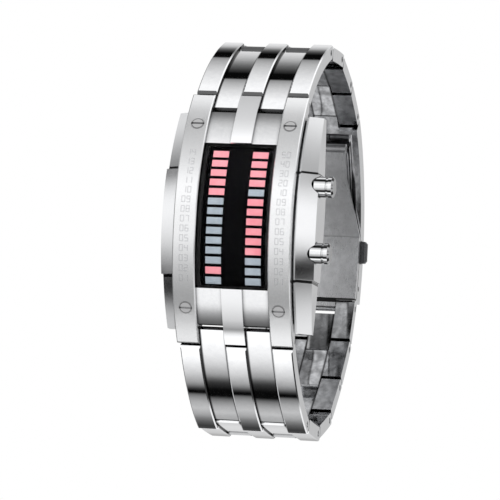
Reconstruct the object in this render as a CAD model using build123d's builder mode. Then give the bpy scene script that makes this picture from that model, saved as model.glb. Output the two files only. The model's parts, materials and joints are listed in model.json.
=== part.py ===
from build123d import *
import math
import os

# Binary watch on a five-strip metal bracelet, upright with the clasp closed.
# X runs to the button side, Y from the display back through the wrist, Z up to twelve o'clock.
# The origin is the middle of the case back's outer face.

# Case
case_length = 48.0
case_depth = 11.2
face_end_drop = 9.17
rail_thickness = 1.2
rail_overhang = 0.4
lug_pivot_inset = 1.0
lug_back_inset = 0.2
flank_half_width = 11.5
flank_sink = 2.7
flank_half_length = 19.5
back_thickness = 1.2
back_half_width = 10.4
back_half_length = 18.9
back_corner = 2.5
cavity_half_width = 8.9
cavity_half_length = 16.2
cavity_corner = 1.5
cavity_roof = 1.2

# Strips of the bracelet, which also rule the case
bracelet_width = 22.0
edge_strip = 3.95
middle_strip = 4.0
strip_step = 0.6
link_thickness = 2.8
knuckle_reach = 1.9
link_gap = 0.2
side_gap = 0.15
strip_bevel = 0.22
strip_lip = 0.5
link_crown = 2.5
knuckle_fold = 55.0
first_link_turn = 15.0
pin_radius = 0.6
pin_fit = 0.02
pin_running_fit = 0.05

# Loop of the bracelet, from the case back to the clasp
loop_depth = 66.0
loop_rise = 38.0
upper_station_shares = ((0.279, 0.955), (0.452, 0.974), (0.615, 0.887), (0.759, 0.753))
lower_station_shares = (
    (0.267, 0.984),
    (0.439, 1.013),
    (0.605, 0.926),
    (0.736, 0.734),
    (0.853, 0.511),
    (0.909, 0.279),
)

# Clasp
clasp_turn = 31.7
clasp_end_share = (0.955, -0.25)
cover_plate = 1.4
cover_flange = 1.1
cover_flange_depth = 3.8
cover_block_angle = 8.5
cover_end_angle = -12.0
blade_side_gap = 1.0
outer_blade_depth = 2.15
inner_blade_depth = 4.15
blade_thickness = 1.0
wide_blade_thickness = 1.5
blade_pin_radius = 0.5
blade_knuckle = 1.0
blade_knuckle_half = 4.0
knuckle_gap = 0.2
knuckle_clear_angle = 2.4
cover_hinge_angle = -8.0
blade_hinge_angle = 40.0
shoulder_top_angle = 29.0
shoulder_end_angle = 9.0
saddle_clearance = 0.3
catch_angle = 4.0
catch_length = 4.6
catch_height = 1.8
catch_depth = 2.4
catch_out = 1.3
catch_plate = 0.5
catch_lip = 0.6
catch_chamfer = 0.5
catch_play = 0.1

# Display
display_half_width = 6.86
display_half_length = 13.75
display_sink = 0.9
glass_thickness = 0.6
box_half_width = 6.3
box_half_length = 13.3
seat_play = 0.05
box_back = 6.1
bar_pitch = 1.854
bar_drop = 0.25
bar_width = 3.0
bar_height = 1.27
bar_column = 3.85
window_play = 0.1
left_lit_rows = (0, 1, 2, 3, 4, 12)
right_lit_rows = (0, 1, 2, 3, 5, 6, 7, 8, 9, 10)
display_gasket_thickness = 0.3

# Rails, screws and centre bars
rail_screw_height = 17.7
rail_screw_radius = 1.25
rail_screw_sink = 0.75
rail_screw_shank = 0.6
rail_screw_length = 2.6
rail_screw_slot = 0.4
rail_screw_slot_depth = 0.35
rail_screw_proud = 0.05
edge_strip_bevel = 0.2
plate_end_inset = 3.6
centre_bar_sink = 0.2

# Wings
left_wing_outer = 13.8
right_wing_outer = 15.2
wing_proud = 0.35
wing_top = 20.0
wing_bottom = 21.4
wing_top_break = 8.5
wing_bottom_break = 11.5
wing_radius = 38.2
wing_front = 10.2
wing_slope = 30.0
wing_bow = 0.5
wing_back = 0.3
wing_groove = 0.7
wing_groove_depth = 1.5
wing_peg_radius = 0.8
wing_peg_height = 14.5
wing_peg_depth = 3.4
wing_peg_length = 1.3

# Buttons
button_height = 6.3
button_depth = 6.3
button_sink = 0.9
button_well = 1.9
button_radius = 2.0
button_out = 2.75
button_groove = 0.18
button_groove_width = 0.45
button_groove_share = 0.45
button_chamfer = 0.35
button_stem = 0.75
button_clip_radius = 1.25
button_clip_width = 0.3
button_play = 0.05
tube_radius = 1.3
head_play = 0.1
seal_width = 0.5
seal_radius = 1.05

# Inside
board_thickness = 0.8
board_half_width = 7.4
board_half_length = 13.6
board_front = 5.3
chip_size = 5.0
chip_height = 0.9
chip_height_share = 0.62
quartz_radius = 0.75
quartz_length = 4.0
diode_width = 1.6
diode_depth = 0.7
diode_height = 0.8
switch_width = 1.0
switch_length = 3.0
switch_height = 2.0
switch_start = 6.4
cell_radius = 8.0
cell_thickness = 2.0
cell_drop = 4.0
cell_play = 0.3
clip_thickness = 0.2
clip_half_width = 1.5
holder_play = 0.15
back_play = 0.05
gasket_width = 0.5
gasket_depth = 0.5
gasket_inset = 0.3
back_screw_radius = 0.55
back_screw_head = 1.0
back_screw_length = 1.6
back_screw_x_inset = 1.8
back_screw_z_inset = 1.1
back_screw_sink = 0.5

overrun = 1.0
full_turn = 360

# Values that follow from the sizes above
case_half = case_length / 2
half_width = bracelet_width / 2
rail_inner = half_width - edge_strip
rail_middle = half_width - edge_strip / 2
middle_half = middle_strip / 2
link_half = link_thickness / 2
bar_rows = round(box_half_length * 2 / bar_pitch)
blade_half_width = half_width - cover_flange - catch_play - catch_plate - blade_side_gap
knuckle_nose = knuckle_reach - link_gap
face_radius = (case_half**2 + face_end_drop**2) / (face_end_drop * 2)
face_centre = face_radius - case_depth
seat_radius = face_radius - rail_thickness
plate_radius = face_radius - display_sink
glass_back = plate_radius - glass_thickness
gasket_back = glass_back - display_gasket_thickness
box_front = gasket_back - seat_play
cavity_radius = seat_radius - cavity_roof
case_pivot = (-lug_pivot_inset, case_half - knuckle_nose)
plate_end = case_half - plate_end_inset
upper_plane = Plane.YZ
lower_plane = Plane(origin=(0, 0, 0), x_dir=(0, 1, 0), z_dir=(-1, 0, 0))


def save(builder, label):
    # Label one finished piece and write it to its own file.
    builder.part.label = label
    export_step(builder.part, "parts/" + label + ".step")


def face_point(radius, height):
    # Point of the case profile at a height, on an arc about the middle of the face's curve.
    return (face_centre - math.sqrt(radius**2 - height**2), height)


def polar(centre, radius, degrees):
    # Point in the side view, its angle counted up from the Y axis.
    turn = math.radians(degrees)
    return (centre[0] + radius * math.cos(turn), centre[1] + radius * math.sin(turn))


def draw_arc_band(front, back, low, high):
    # Side outline of a curved plate between two radii of the face and two heights.
    middle = (low + high) / 2
    ThreePointArc(face_point(front, low), face_point(front, middle), face_point(front, high))
    Line(face_point(front, high), face_point(back, high))
    ThreePointArc(face_point(back, high), face_point(back, middle), face_point(back, low))
    Line(face_point(back, low), face_point(front, low))


def draw_to_back(front, low, high, back):
    # Side outline between an arc of the face and a flat back plane.
    middle = (low + high) / 2
    ThreePointArc(face_point(front, low), face_point(front, middle), face_point(front, high))
    Polyline(face_point(front, high), (back, high), (back, low), face_point(front, low))


def outline_slab(front, low, high, back, start, thickness, mode=Mode.ADD):
    # Solid between an arc of the face and a plane, from X = start over the given thickness.
    with BuildSketch(Plane.YZ.offset(start)) as outline:
        with BuildLine():
            draw_to_back(front, low, high, back)
        make_face()
    extrude(outline.sketch, amount=thickness, mode=mode)


def band_slab(front, back, low, high, start, thickness, mode=Mode.ADD):
    # Curved plate from X = start over the given thickness.
    with BuildSketch(Plane.YZ.offset(start)) as outline:
        with BuildLine():
            draw_arc_band(front, back, low, high)
        make_face()
    extrude(outline.sketch, amount=thickness, mode=mode)


os.makedirs("parts", exist_ok=True)

# Seats of the four rail screws, square to the curved face
screw_turn = math.asin(rail_screw_height / face_radius)
screw_seats = {}
for side in (-1, 1):
    for end in (-1, 1):
        screw_seats[(side, end)] = Plane(
            origin=(side * rail_middle, *face_point(face_radius, end * rail_screw_height)),
            x_dir=(1, 0, 0),
            z_dir=(0, -math.cos(screw_turn), end * math.sin(screw_turn)),
        )

# Case body: a shell with a window, lugs for the pins and plates between the rails
with BuildPart() as case_body:
    outline_slab(seat_radius, -plate_end, plate_end, -back_thickness, -half_width, bracelet_width)
    for side in (-1, 1):
        low = min(side * half_width, side * flank_half_width)
        flank = flank_half_width - half_width
        flank_radius = face_radius - flank_sink
        outline_slab(
            flank_radius, -flank_half_length, flank_half_length, -back_thickness, low, flank
        )
        plate_low = min(side * middle_half, side * rail_inner)
        plate_width = rail_inner - middle_half
        for end in (-1, 1):
            ends = sorted((end * display_half_length, end * plate_end))
            outline_slab(plate_radius, *ends, -back_thickness, plate_low, plate_width)
    columns = (
        (-half_width, edge_strip),
        (-middle_half, middle_strip),
        (rail_inner, edge_strip),
    )
    for start, width in columns:
        for plane in (upper_plane, lower_plane):
            offset = start if plane is upper_plane else -start - width
            with BuildSketch(plane.offset(offset)):
                with BuildLine():
                    root = plate_end - overrun
                    lug_back = -lug_back_inset
                    Polyline(
                        face_point(seat_radius, root),
                        (lug_back, root),
                        (lug_back, case_pivot[1]),
                        case_pivot,
                    )
                    tip = face_point(seat_radius, case_pivot[1])
                    Line(case_pivot, tip)
                    middle = face_point(seat_radius, (root + case_pivot[1]) / 2)
                    ThreePointArc(tip, middle, face_point(seat_radius, root))
                make_face()
                with Locations(case_pivot):
                    Circle(knuckle_nose)
                with BuildLine():
                    high = case_half + overrun
                    arc_middle = face_point(seat_radius, (root + high) / 2)
                    ThreePointArc(
                        face_point(seat_radius, root), arc_middle, face_point(seat_radius, high)
                    )
                    front = -case_depth
                    Polyline(
                        face_point(seat_radius, high),
                        (front, high),
                        (front, root),
                        face_point(seat_radius, root),
                    )
                make_face(mode=Mode.SUBTRACT)
            extrude(amount=width)
    # Cavity, window and gasket groove
    cavity_width = cavity_half_width * 2
    outline_slab(
        cavity_radius,
        -cavity_half_length,
        cavity_half_length,
        overrun,
        -cavity_half_width,
        cavity_width,
        mode=Mode.SUBTRACT,
    )
    with BuildSketch(Plane.XZ):
        Rectangle((box_half_width + seat_play) * 2, (box_half_length + seat_play) * 2)
    extrude(amount=case_depth + overrun, mode=Mode.SUBTRACT)
    pocket_width = (display_half_width + seat_play) * 2
    pocket_end = display_half_length + seat_play
    band_slab(
        face_radius,
        gasket_back,
        -pocket_end,
        pocket_end,
        -pocket_width / 2,
        pocket_width,
        mode=Mode.SUBTRACT,
    )
    with BuildSketch(Plane.XZ.offset(back_thickness)):
        groove_inner = cavity_half_width + gasket_inset
        groove_outer = groove_inner + gasket_width
        groove_low = cavity_half_length + gasket_inset
        groove_high = groove_low + gasket_width
        RectangleRounded(groove_outer * 2, groove_high * 2, cavity_corner)
        RectangleRounded(groove_inner * 2, groove_low * 2, cavity_corner, mode=Mode.SUBTRACT)
    extrude(amount=gasket_depth, mode=Mode.SUBTRACT)
    # Holes for pins, screws, buttons and the wings' pegs
    for plane in (upper_plane, lower_plane):
        with BuildSketch(plane):
            with Locations(case_pivot):
                Circle(pin_radius + pin_fit)
        extrude(amount=half_width + overrun, both=True, mode=Mode.SUBTRACT)
    with BuildSketch(Plane.XZ.offset(back_thickness)):
        screw_x = back_half_width - back_screw_x_inset
        screw_z = back_half_length - back_screw_z_inset
        with GridLocations(screw_x * 2, screw_z * 2, 2, 2):
            Circle(back_screw_radius + pin_fit)
    extrude(amount=back_screw_length, mode=Mode.SUBTRACT)
    with BuildSketch(Plane.YZ.offset(cavity_half_width - overrun)):
        with Locations((-button_depth, button_height), (-button_depth, -button_height)):
            Circle(tube_radius + seat_play)
    extrude(amount=flank_half_width, mode=Mode.SUBTRACT)
    with BuildSketch(Plane.YZ.offset(flank_half_width - wing_peg_length)):
        with Locations((-wing_peg_depth, wing_peg_height), (-wing_peg_depth, -wing_peg_height)):
            Circle(wing_peg_radius + seat_play)
    extrude(amount=wing_peg_length, mode=Mode.SUBTRACT)
    with BuildSketch(Plane.YZ.offset(-flank_half_width)):
        with Locations((-wing_peg_depth, wing_peg_height), (-wing_peg_depth, -wing_peg_height)):
            Circle(wing_peg_radius + seat_play)
    extrude(amount=wing_peg_length, mode=Mode.SUBTRACT)
    for seat in screw_seats.values():
        with BuildSketch(seat):
            Circle(rail_screw_shank + pin_fit)
        extrude(amount=-rail_screw_length, mode=Mode.SUBTRACT)
save(case_body, "case_body")

# Rails with counterbored screw holes
rail_labels = {-1: "left_rail", 1: "right_rail"}
for side, label in rail_labels.items():
    with BuildPart() as rail:
        start = min(side * rail_inner, side * (half_width + rail_overhang))
        rail_width = edge_strip + rail_overhang
        band_slab(face_radius, seat_radius, -case_half, case_half, start, rail_width)
        front_face = rail.faces().sort_by(Axis.Y)[0]
        chamfer(front_face.edges(), length=edge_strip_bevel)
        for end in (-1, 1):
            seat = screw_seats[(side, end)]
            with BuildSketch(seat):
                Circle(rail_screw_shank + pin_fit)
            extrude(amount=-rail_screw_length, mode=Mode.SUBTRACT)
            with BuildSketch(seat.offset(overrun)):
                Circle(rail_screw_radius + pin_running_fit)
            extrude(amount=-rail_screw_sink - overrun, mode=Mode.SUBTRACT)
    save(rail, label)

# Slotted screws that hold the rails
with BuildPart() as rail_screws:
    for seat in screw_seats.values():
        with BuildSketch(seat.offset(rail_screw_proud)):
            Circle(rail_screw_radius)
        extrude(amount=-rail_screw_sink - rail_screw_proud)
        with BuildSketch(seat):
            Circle(rail_screw_shank)
        extrude(amount=-rail_screw_length)
    for seat in screw_seats.values():
        with BuildSketch(seat.offset(rail_screw_proud)):
            Rectangle(rail_screw_radius * 2 + overrun, rail_screw_slot)
        extrude(amount=-rail_screw_slot_depth, mode=Mode.SUBTRACT)
save(rail_screws, "rail_screws")

# Centre bars above and below the display
bar_radius = face_radius - centre_bar_sink
for end, label in ((1, "upper_centre_bar"), (-1, "lower_centre_bar")):
    with BuildPart() as centre_bar:
        low, high = sorted((end * (display_half_length + seat_play), end * case_half))
        band_slab(bar_radius, seat_radius, low, high, -middle_half, middle_strip)
        front_face = centre_bar.faces().sort_by(Axis.Y)[0]
        chamfer(front_face.edges(), length=edge_strip_bevel)
    save(centre_bar, label)

# Display: curved glass over a gasket, and a light box with one window for each bar
with BuildPart() as display_glass:
    glass_width = display_half_width * 2
    band_slab(
        plate_radius,
        glass_back,
        -display_half_length,
        display_half_length,
        -display_half_width,
        glass_width,
    )
save(display_glass, "display_glass")

with BuildPart() as display_gasket:
    band_slab(
        glass_back,
        gasket_back,
        -display_half_length,
        display_half_length,
        -display_half_width,
        glass_width,
    )
    with BuildSketch(Plane.XZ):
        Rectangle(box_half_width * 2, box_half_length * 2)
    extrude(amount=case_depth + overrun, mode=Mode.SUBTRACT)
save(display_gasket, "display_gasket")


def bar_centre(side, row):
    # Place of one light bar in the front view; row zero is the top one.
    return (side * bar_column, ((bar_rows - 1) / 2 - row) * bar_pitch - bar_drop)


lit_bars = [bar_centre(-1, row) for row in left_lit_rows]
lit_bars += [bar_centre(1, row) for row in right_lit_rows]
all_bars = [bar_centre(side, row) for side in (-1, 1) for row in range(bar_rows)]
unlit_bars = [place for place in all_bars if place not in lit_bars]

with BuildPart() as light_box:
    box_width = box_half_width * 2
    outline_slab(
        box_front, -box_half_length, box_half_length, -box_back, -box_half_width, box_width
    )
    with BuildSketch(Plane.XZ):
        with Locations(*all_bars):
            Rectangle(bar_width + window_play, bar_height + window_play)
    extrude(amount=case_depth + overrun, mode=Mode.SUBTRACT)
save(light_box, "light_box")

for places, label in ((lit_bars, "lit_light_bars"), (unlit_bars, "unlit_light_bars")):
    with BuildPart() as light_bars:
        outline_slab(
            box_front, -box_half_length, box_half_length, -box_back, -box_half_width, box_width
        )
        with BuildSketch(Plane.XZ):
            with Locations(*places):
                Rectangle(bar_width, bar_height)
        extrude(amount=case_depth + overrun, mode=Mode.INTERSECT)
    save(light_bars, label)


def wing_block(side, outer, grow, low, high):
    # Part of a wing between two heights, its curved front sloping back to a bowed side.
    wide = outer + grow - flank_half_width + overrun
    drop = wide * math.tan(math.radians(wing_slope))
    with BuildPart() as block:
        with BuildSketch(Plane.XY):
            Polygon(
                (side * flank_half_width, -wing_front - grow),
                (side * (flank_half_width + wide), -wing_front - grow + drop),
                (side * (flank_half_width + wide), -wing_back),
                (side * flank_half_width, -wing_back),
                align=None,
            )
        revolve(axis=Axis((0, wing_radius - wing_front, 0), (1, 0, 0)), revolution_arc=full_turn)
        with BuildSketch(Plane.XZ.offset(wing_back)):
            with BuildLine():
                bow_height = (wing_top - wing_bottom) / 2
                bow_low = (side * (outer + grow - wing_bow), -wing_bottom)
                bow_high = (side * (outer + grow - wing_bow), wing_top)
                ThreePointArc(bow_low, (side * (outer + grow), bow_height), bow_high)
                Polyline(
                    bow_high,
                    (side * flank_half_width, wing_top),
                    (side * flank_half_width, -wing_bottom),
                    bow_low,
                )
            make_face()
        extrude(amount=case_depth, mode=Mode.INTERSECT)
        with BuildSketch(Plane.XY.offset(low)):
            with Locations((side * outer / 2, -case_depth / 2)):
                Rectangle(outer * 2, case_depth * 2)
        extrude(amount=high - low, mode=Mode.INTERSECT)
    return block.part


# Wings that shield the flanks, with a proud middle and pegs into the case body
wing_outers = {-1: left_wing_outer, 1: right_wing_outer}
for side, label in ((-1, "left_wing"), (1, "right_wing")):
    outer = wing_outers[side]
    with BuildPart() as wing:
        side_plane = Plane.YZ.offset(side * flank_half_width)
        add(wing_block(side, outer, 0, -wing_bottom, wing_top))
        add(wing_block(side, outer, wing_proud, -wing_bottom_break, wing_top_break))
        pegs = ((-wing_peg_depth, wing_peg_height), (-wing_peg_depth, -wing_peg_height))
        with BuildSketch(side_plane):
            with Locations(*pegs):
                Circle(wing_peg_radius)
        extrude(amount=-side * (wing_peg_length - seat_play))
        if side > 0:
            wells = ((-button_depth, button_height), (-button_depth, -button_height))
            with BuildSketch(Plane.YZ.offset(outer + wing_proud - button_well)):
                with Locations(*wells):
                    Circle(button_radius + head_play)
            extrude(amount=button_well + overrun, mode=Mode.SUBTRACT)
            with BuildSketch(Plane.YZ.offset(flank_half_width)):
                with Locations(*wells):
                    Circle(tube_radius + seat_play)
            extrude(amount=outer - flank_half_width, mode=Mode.SUBTRACT)
            # Groove beside the rail
            with BuildSketch(Plane.XY):
                with Locations((flank_half_width + wing_groove / 2, -wing_front)):
                    Rectangle(wing_groove, wing_groove_depth * 2)
            revolve(
                axis=Axis((0, wing_radius - wing_front, 0), (1, 0, 0)),
                revolution_arc=full_turn,
                mode=Mode.SUBTRACT,
            )
    save(wing, label)

# Buttons: a grooved head on a stem, in a tube with a seal, held by a clip inside the case
flank_face = right_wing_outer + wing_proud
tube_end = flank_face - button_well
head_start = flank_face - button_sink
button_places = {"upper": button_height, "lower": -button_height}
with BuildPart() as button_tubes:
    with BuildSketch(Plane.YZ.offset(cavity_half_width)):
        with Locations(*wells):
            Circle(tube_radius)
            Circle(button_stem + button_play, mode=Mode.SUBTRACT)
    extrude(amount=tube_end - cavity_half_width)
    with BuildSketch(Plane.YZ.offset(tube_end - seal_width)):
        with Locations(*wells):
            Circle(seal_radius)
    extrude(amount=seal_width, mode=Mode.SUBTRACT)
save(button_tubes, "button_tubes")

with BuildPart() as button_seals:
    with BuildSketch(Plane.YZ.offset(tube_end - seal_width)):
        with Locations(*wells):
            Circle(seal_radius)
            Circle(button_stem + pin_fit, mode=Mode.SUBTRACT)
    extrude(amount=seal_width)
save(button_seals, "button_seals")

clip_face = cavity_half_width - button_play
stem_end = clip_face - button_clip_width
for place, height in button_places.items():
    axis = (-button_depth, height)
    with BuildPart() as button:
        with BuildSketch(Plane.YZ.offset(head_start)):
            with Locations(axis):
                Circle(button_radius)
        extrude(amount=button_out + button_sink)
        chamfer(button.edges().sort_by(Axis.X)[-1], length=button_chamfer)
        groove_start = flank_face + button_out * button_groove_share
        with BuildSketch(Plane.YZ.offset(groove_start)):
            with Locations(axis):
                Circle(button_radius + overrun)
                Circle(button_radius - button_groove, mode=Mode.SUBTRACT)
        extrude(amount=button_groove_width, mode=Mode.SUBTRACT)
        with BuildSketch(Plane.YZ.offset(stem_end)):
            with Locations(axis):
                Circle(button_stem)
        extrude(amount=head_start - stem_end)
    save(button, place + "_button")
    with BuildPart() as button_clip:
        with BuildSketch(Plane.YZ.offset(stem_end)):
            with Locations(axis):
                Circle(button_clip_radius)
                Circle(button_stem, mode=Mode.SUBTRACT)
        extrude(amount=button_clip_width)
    save(button_clip, place + "_button_clip")

# Circuit board with its chips, cell and holder
board_back = board_front - board_thickness
with BuildPart() as circuit_board:
    with BuildSketch(Plane.XZ.offset(board_back)):
        Rectangle(board_half_width * 2, board_half_length * 2)
    extrude(amount=board_thickness)
save(circuit_board, "circuit_board")

with BuildPart() as led_chips:
    with BuildSketch(Plane.XZ.offset(board_front)):
        with Locations(*all_bars):
            Rectangle(diode_width, diode_height)
    extrude(amount=diode_depth)
save(led_chips, "led_chips")

with BuildPart() as push_switches:
    with BuildSketch(Plane.XZ.offset(board_front)):
        with Locations(
            (switch_start + switch_width / 2, button_height),
            (switch_start + switch_width / 2, -button_height),
        ):
            Rectangle(switch_width, switch_length)
    extrude(amount=switch_height)
save(push_switches, "push_switches")

chip_middle = cavity_half_length * chip_height_share
with BuildPart() as controller_chip:
    with BuildSketch(Plane.XZ.offset(board_back - chip_height)):
        with Locations((-chip_size / 2, chip_middle)):
            Rectangle(chip_size, chip_size)
    extrude(amount=chip_height)
save(controller_chip, "controller_chip")

with BuildPart() as quartz_can:
    with BuildSketch(Plane.XY.offset(chip_middle - quartz_length / 2)):
        with Locations((chip_size / 2, -(board_back - quartz_radius))):
            Circle(quartz_radius)
    extrude(amount=quartz_length)
save(quartz_can, "quartz_can")

cell_back = back_thickness + clip_thickness
with BuildPart() as coin_cell:
    with BuildSketch(Plane.XZ.offset(cell_back)):
        with Locations((0, -cell_drop)):
            Circle(cell_radius)
    extrude(amount=cell_thickness)
    chamfer(coin_cell.edges().filter_by(GeomType.CIRCLE).sort_by(Axis.Y)[-1], length=cell_play)
save(coin_cell, "coin_cell")

with BuildPart() as battery_clip:
    with BuildSketch(Plane.XZ.offset(back_thickness)):
        with Locations((0, -cell_drop)):
            Rectangle(clip_half_width * 2, cell_radius * 2)
            Rectangle(cell_radius * 2, clip_half_width * 2)
    extrude(amount=clip_thickness)
save(battery_clip, "battery_clip")

with BuildPart() as movement_holder:
    holder_width = (cavity_half_width - holder_play) * 2
    holder_length = (cavity_half_length - holder_play) * 2
    holder_back = back_thickness + back_play
    with BuildSketch(Plane.XZ.offset(holder_back)):
        RectangleRounded(holder_width, holder_length, cavity_corner)
        with Locations((0, -cell_drop)):
            Circle(cell_radius + cell_play, mode=Mode.SUBTRACT)
        with Locations((0, chip_middle)):
            Rectangle(chip_size * 2 + quartz_radius, chip_size + quartz_radius, mode=Mode.SUBTRACT)
    extrude(amount=board_back - holder_back - back_play)
save(movement_holder, "movement_holder")

# Case back with its gasket and screws
with BuildPart() as case_back:
    with BuildSketch(Plane.XZ):
        RectangleRounded(back_half_width * 2, back_half_length * 2, back_corner)
        with GridLocations(screw_x * 2, screw_z * 2, 2, 2):
            Circle(back_screw_radius + pin_fit, mode=Mode.SUBTRACT)
    extrude(amount=back_thickness)
    with BuildSketch(Plane.XZ):
        with GridLocations(screw_x * 2, screw_z * 2, 2, 2):
            Circle(back_screw_head + pin_running_fit)
    extrude(amount=back_screw_sink, mode=Mode.SUBTRACT)
save(case_back, "case_back")

with BuildPart() as back_gasket:
    with BuildSketch(Plane.XZ.offset(back_thickness)):
        RectangleRounded(groove_outer * 2, groove_high * 2, cavity_corner)
        RectangleRounded(groove_inner * 2, groove_low * 2, cavity_corner, mode=Mode.SUBTRACT)
    extrude(amount=gasket_depth)
save(back_gasket, "back_gasket")

with BuildPart() as back_screws:
    with BuildSketch(Plane.XZ):
        with GridLocations(screw_x * 2, screw_z * 2, 2, 2):
            Circle(back_screw_head)
    extrude(amount=back_screw_sink)
    with BuildSketch(Plane.XZ):
        with GridLocations(screw_x * 2, screw_z * 2, 2, 2):
            Circle(back_screw_radius)
    extrude(amount=back_screw_length)
    with BuildSketch(Plane.XZ):
        with GridLocations(screw_x * 2, screw_z * 2, 2, 2):
            Rectangle(back_screw_head * 2 + overrun, rail_screw_slot)
    extrude(amount=rail_screw_slot_depth, mode=Mode.SUBTRACT)
save(back_screws, "back_screws")

with BuildPart() as case_pins:
    for plane in (upper_plane, lower_plane):
        with BuildSketch(plane):
            with Locations(case_pivot):
                Circle(pin_radius)
        extrude(amount=half_width - side_gap, both=True)
save(case_pins, "case_pins")


def along(origin, degrees, run, rise=0):
    # Point at a run along a direction in the side view and a rise to its left.
    turn = math.radians(degrees)
    return (
        origin[0] + run * math.cos(turn) - rise * math.sin(turn),
        origin[1] + run * math.sin(turn) + rise * math.cos(turn),
    )


def chord(near, far):
    # Length and direction from one pivot to the next.
    run, rise = far[0] - near[0], far[1] - near[1]
    return math.hypot(run, rise), math.degrees(math.atan2(rise, run))


def draw_strip(near, far, turn, top, raised):
    # Side outline of one strip of a link between two pivots, bowed outward by a turn at each end.
    # A raised strip carries the far pivot in its nose, the others carry the near one.
    span, heading = chord(near, far)
    start, end = heading + turn, heading - turn
    bow = span / 2 * math.tan(math.radians(turn / 2))
    middle = along(near, heading, span / 2, bow)
    fold = math.radians(knuckle_fold)
    lip = knuckle_nose * math.cos(fold) - (link_half - knuckle_nose * math.sin(fold)) * math.tan(fold)
    if raised:
        pivot, facing, way = far, end, 1
        square = (near, start, knuckle_reach)
    else:
        pivot, facing, way = near, start, -1
        square = (far, end, -knuckle_reach)
    nose_top = along(pivot, facing, way * knuckle_nose, top)
    nose_side = along(pivot, facing, way * knuckle_nose)
    nose_middle = along(
        pivot,
        facing,
        way * knuckle_nose * math.cos(fold / 2),
        -knuckle_nose * math.sin(fold / 2),
    )
    nose_low = along(
        pivot, facing, way * knuckle_nose * math.cos(fold), -knuckle_nose * math.sin(fold)
    )
    lip_point = along(pivot, facing, way * lip, -link_half)
    square_top = along(*square, top)
    square_low = along(*square, -link_half)
    outer_middle = along(middle, heading, 0, top)
    inner_middle = along(middle, heading, 0, -link_half)
    ThreePointArc(square_top, outer_middle, nose_top)
    Line(nose_top, nose_side)
    ThreePointArc(nose_side, nose_middle, nose_low)
    Line(nose_low, lip_point)
    ThreePointArc(lip_point, inner_middle, square_low)
    Line(square_low, square_top)
    return outer_middle


def draw_tab_limit(near, far, turn):
    # Region ahead of a link's square end, where its low strips narrow to fit between knuckles.
    heading = chord(near, far)[1] + turn
    reach = link_thickness
    Polyline(
        along(near, heading, knuckle_reach, reach),
        along(near, heading, knuckle_reach, -reach),
        along(near, heading, -reach, -reach),
        along(near, heading, -reach, reach),
        close=True,
    )


raised_starts = ((-half_width, edge_strip), (-middle_half, middle_strip), (rail_inner, edge_strip))
low_width = rail_inner - middle_half
low_starts = (-rail_inner, middle_half)
low_top = link_half - strip_step


def to_side(plane, start, width):
    # Offset that puts a strip at X = start on a side plane of either direction.
    return start if plane is upper_plane else -start - width


def add_strips(link, plane, near, far, turn):
    # The five strips of a link: three raised ones with bevelled edges and two low ones.
    for start, width in raised_starts:
        with BuildSketch(plane.offset(to_side(plane, start, width))) as outline:
            with BuildLine():
                outer_middle = draw_strip(near, far, turn, link_half, True)
            make_face()
        extrude(outline.sketch, amount=width)
        face_middle = plane.from_local_coords((*outer_middle, 0)) + Vector(start + width / 2, 0, 0)
        outer_face = link.faces().sort_by_distance(face_middle)[0]
        chamfer(outer_face.edges().filter_by(Axis.X), length=strip_lip)
        outer_face = link.faces().sort_by_distance(face_middle)[0]
        chamfer(outer_face.edges().filter_by(Axis.X, reverse=True), length=strip_bevel)
    for start in low_starts:
        with BuildSketch(plane.offset(to_side(plane, start, low_width))) as outline:
            with BuildLine():
                draw_strip(near, far, turn, low_top, False)
            make_face()
        extrude(outline.sketch, amount=low_width)
        for slot in (start - side_gap, start + low_width - side_gap):
            with BuildSketch(plane.offset(to_side(plane, slot, side_gap * 2))) as outline:
                with BuildLine():
                    draw_tab_limit(near, far, turn)
                make_face()
            extrude(outline.sketch, amount=side_gap * 2, mode=Mode.SUBTRACT)


def bore(plane, pivot, radius):
    # Hole across the bracelet at a pivot.
    with BuildSketch(plane) as outline:
        with Locations(pivot):
            Circle(radius)
    extrude(outline.sketch, amount=half_width + overrun, both=True, mode=Mode.SUBTRACT)


# Links and their pins, from the case to the clasp on each side
upper_stations = [case_pivot]
upper_stations += [(y * loop_depth, z * loop_rise) for y, z in upper_station_shares]
lower_stations = [case_pivot]
lower_stations += [(y * loop_depth, z * loop_rise) for y, z in lower_station_shares]
strands = {
    "upper": (upper_plane, upper_stations),
    "lower": (lower_plane, lower_stations),
}
for strand, (plane, stations) in strands.items():
    for number in range(1, len(stations)):
        near, far = stations[number - 1], stations[number]
        turn = first_link_turn if number == 1 else link_crown
        with BuildPart() as link:
            add_strips(link, plane, near, far, turn)
            bore(plane, near, pin_radius + pin_running_fit)
            bore(plane, far, pin_radius + pin_fit)
        save(link, strand + "_link_" + str(number))
        with BuildPart() as link_pin:
            with BuildSketch(plane):
                with Locations(far):
                    Circle(pin_radius)
            extrude(amount=half_width - side_gap, both=True)
        save(link_pin, strand + "_pin_" + str(number))

# Clasp: everything lies on arcs about one centre behind the case
cover_pivot = upper_stations[-1]
clasp_end = (clasp_end_share[0] * loop_depth, clasp_end_share[1] * loop_rise)
clasp_span, clasp_heading = chord(cover_pivot, clasp_end)
clasp_mid_radius = clasp_span / 2 / math.sin(math.radians(clasp_turn))
clasp_middle = along(cover_pivot, clasp_heading, clasp_span / 2)
clasp_centre = along(
    clasp_middle, clasp_heading, 0, -clasp_mid_radius * math.cos(math.radians(clasp_turn))
)
clasp_radius = clasp_mid_radius + link_half
pivot_angle = chord(clasp_centre, cover_pivot)[1]
reach_angle = math.degrees(knuckle_reach / clasp_mid_radius)
cover_top_angle = pivot_angle - reach_angle
block_angle = pivot_angle - cover_block_angle
outer_blade_top = clasp_radius - outer_blade_depth
inner_blade_top = clasp_radius - inner_blade_depth
cover_hinge = polar(clasp_centre, outer_blade_top - blade_thickness / 2, cover_hinge_angle)
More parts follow.
